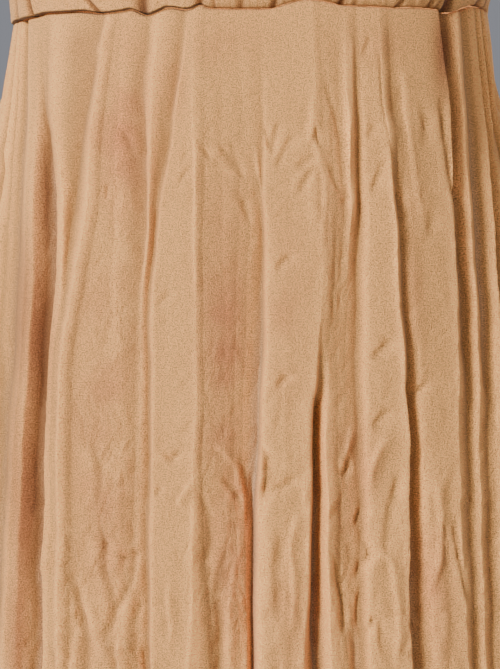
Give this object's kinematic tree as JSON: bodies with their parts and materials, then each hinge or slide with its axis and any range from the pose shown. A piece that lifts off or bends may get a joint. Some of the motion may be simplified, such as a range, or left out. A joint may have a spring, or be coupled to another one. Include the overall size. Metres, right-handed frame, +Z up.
{
  "type": "maxi skirt",
  "caption": "Long flared pull-on skirt in crinkled tan crepe with a gathered elastic waistband, open at waist and hem, in its worn form.",
  "frame": {"origin": "centre of the waistband at half its height, on the wearer's vertical axis, where the waist holds the skirt", "axes": "+Z up out of the waist, -Y out of the front, +X to the right as seen from the front"},
  "size_m": [0.6361, 0.5109, 1.0045],
  "materials": {
    "crinkled_crepe": "matt crinkled crepe",
    "gathered_crepe": "matt crepe gathered over elastic"
  },
  "bodies": {
    "root": {"waistband": "gathered_crepe", "skirt_front": "crinkled_crepe", "skirt_back": "crinkled_crepe"}
  },
  "joints": []
}
